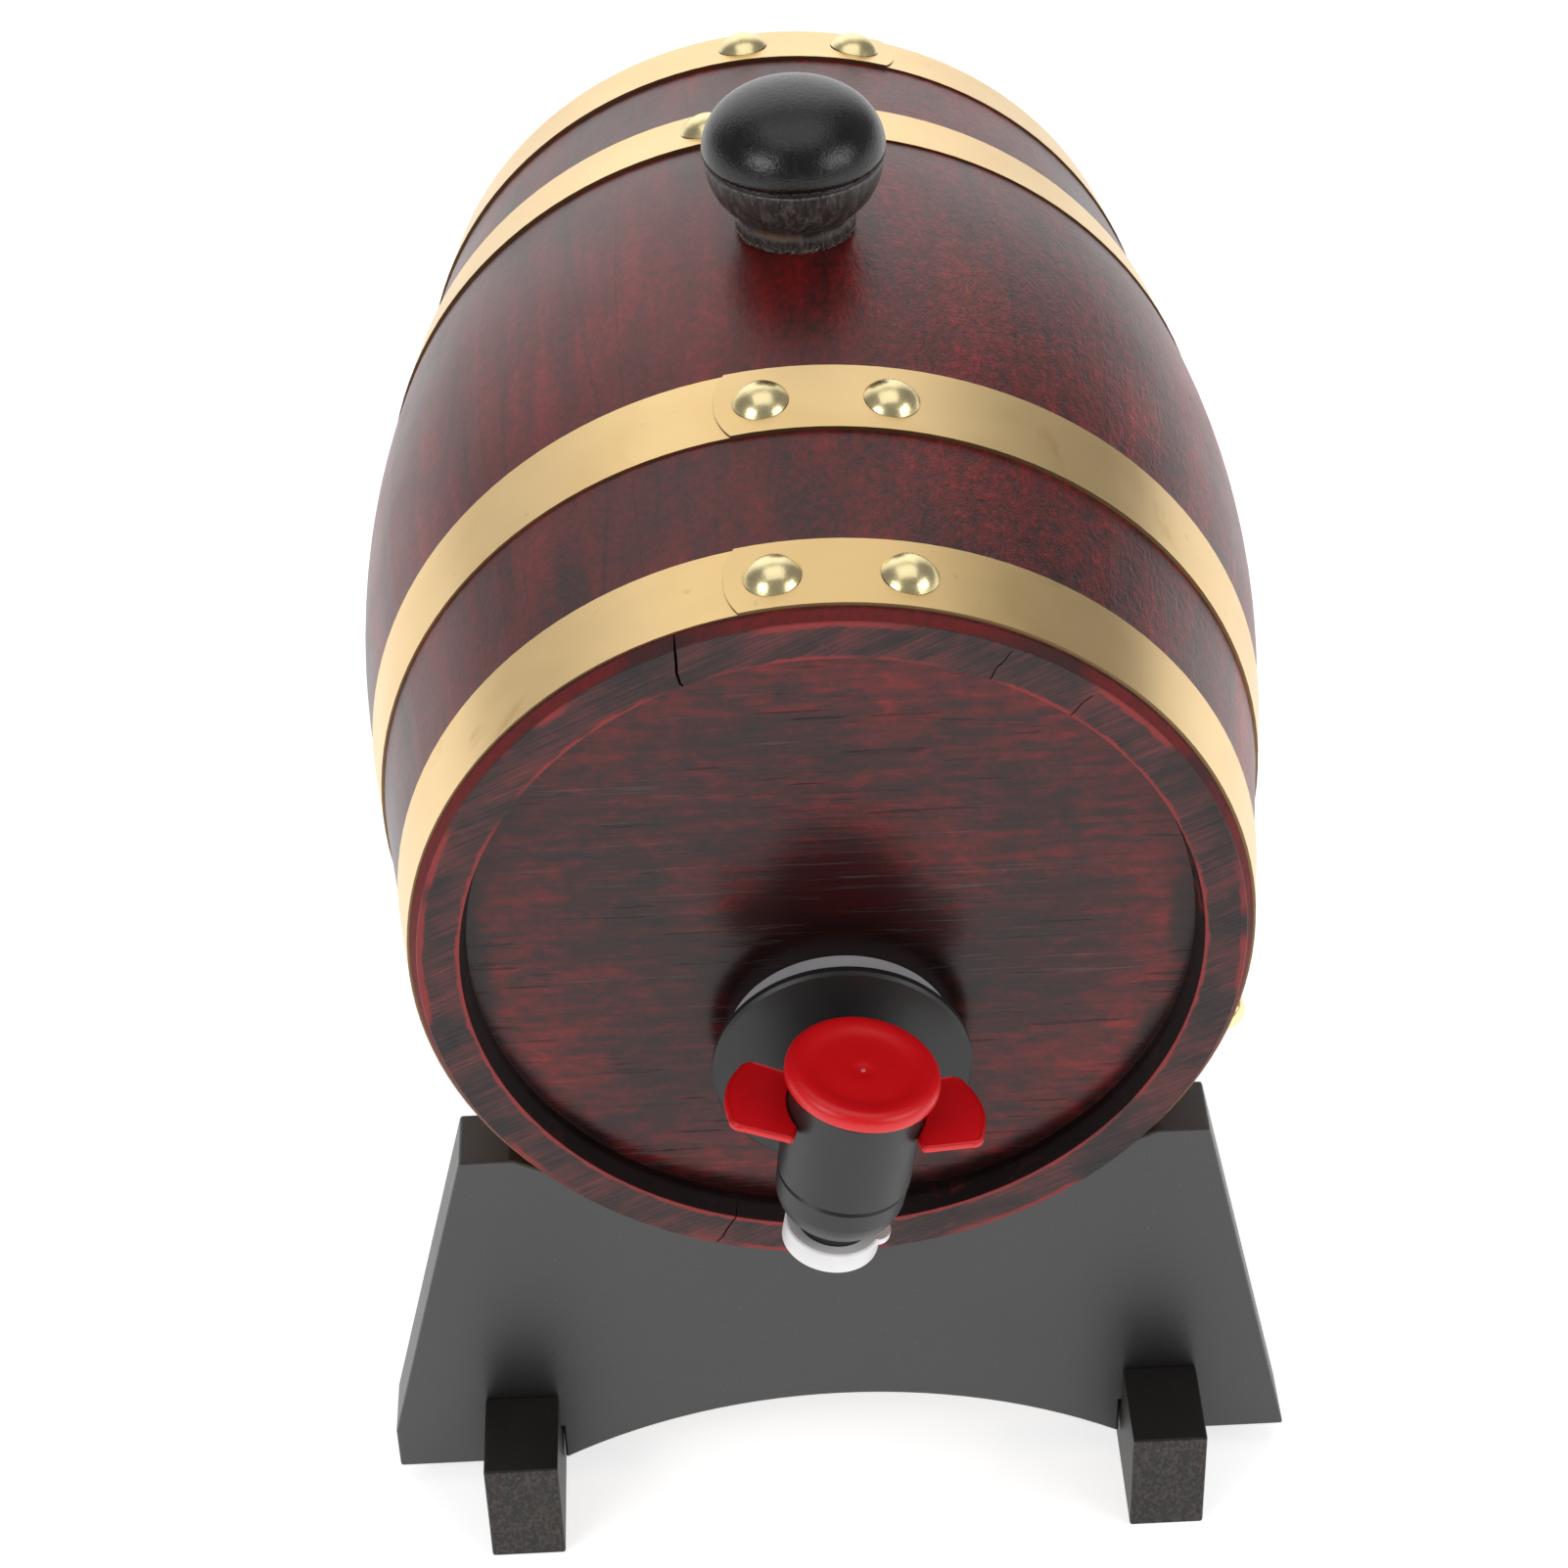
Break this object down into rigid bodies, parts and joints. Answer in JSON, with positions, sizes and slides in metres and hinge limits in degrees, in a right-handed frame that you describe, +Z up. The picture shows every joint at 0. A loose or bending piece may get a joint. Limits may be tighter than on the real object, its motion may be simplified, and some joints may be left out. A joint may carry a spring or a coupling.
{
  "type": "table-top wine barrel dispenser",
  "caption": "Small wooden wine barrel with brass hoops lying on a black half-lapped stand, with a red-button press tap at the front and a turned bung stopper on top.",
  "frame": {"origin": "on the ground, in the middle of the assembly's footprint box", "axes": "+Z up, the tap at the front towards -Y, +X to the right seen from the front"},
  "size_m": [0.1648, 0.2228, 0.2446],
  "materials": {
    "stave_wood": "satin",
    "head_wood": "satin",
    "hoop_brass": "satin",
    "rivet_brass": "polished",
    "stand_black": "matte",
    "stopper_black": "satin",
    "tap_black": "matte",
    "tap_red": "gloss",
    "gland_plastic": "matte",
    "dust_cap_plastic": "satin",
    "seal_rubber": "matte"
  },
  "bodies": {
    "stand": {"front_cradle_board": "stand_black", "rear_cradle_board": "stand_black", "left_rail": "stand_black", "right_rail": "stand_black"},
    "barrel": {"bung_stave": "stave_wood", "stave_02": "stave_wood", "stave_03": "stave_wood", "stave_04": "stave_wood", "stave_05": "stave_wood", "stave_06": "stave_wood", "stave_07": "stave_wood", "stave_08": "stave_wood", "stave_09": "stave_wood", "stave_10": "stave_wood", "stave_11": "stave_wood", "stave_12": "stave_wood", "stave_13": "stave_wood", "front_head_upper_board": "head_wood", "front_head_middle_board": "head_wood", "front_head_lower_board": "head_wood", "rear_head_upper_board": "head_wood", "rear_head_middle_board": "head_wood", "rear_head_lower_board": "head_wood", "front_chime_hoop": "hoop_brass", "front_bilge_hoop": "hoop_brass", "rear_bilge_hoop": "hoop_brass", "rear_chime_hoop": "hoop_brass", "hoop_rivets": "rivet_brass", "hoop_nails": "rivet_brass", "tap_gland": "gland_plastic"},
    "stopper": {"stopper": "stopper_black"},
    "tap": {"tap_body": "tap_black", "finger_wings": "tap_red"},
    "tap_button": {"push_button": "tap_red", "valve_stem": "tap_black", "valve_seal": "seal_rubber"},
    "dust_cap": {"dust_cap": "dust_cap_plastic"}
  },
  "joints": [
    {"name": "barrel_lift", "type": "slide", "parent": "stand", "child": "barrel", "axis": [0, 0, 1], "range_m": [0, 0.1]},
    {"name": "stopper_pull", "type": "slide", "parent": "barrel", "child": "stopper", "axis": [0, 0, 1], "range_m": [0, 0.035]},
    {"name": "tap_turn", "type": "hinge", "parent": "barrel", "child": "tap", "pos_m": [0.00105, -0.09886, 0.1176], "axis": [0, 1, 0], "continuous": true},
    {"name": "button_press", "type": "slide", "parent": "tap", "child": "tap_button", "axis": [-0.1599, 0, -0.9871], "range_m": [0, 0.0018], "stiffness_N_per_m": 1500, "springref_m": -0.001},
    {"name": "dust_cap_pull", "type": "slide", "parent": "tap", "child": "dust_cap", "axis": [-0.1599, 0, -0.9871], "range_m": [0, 0.012]}
  ]
}
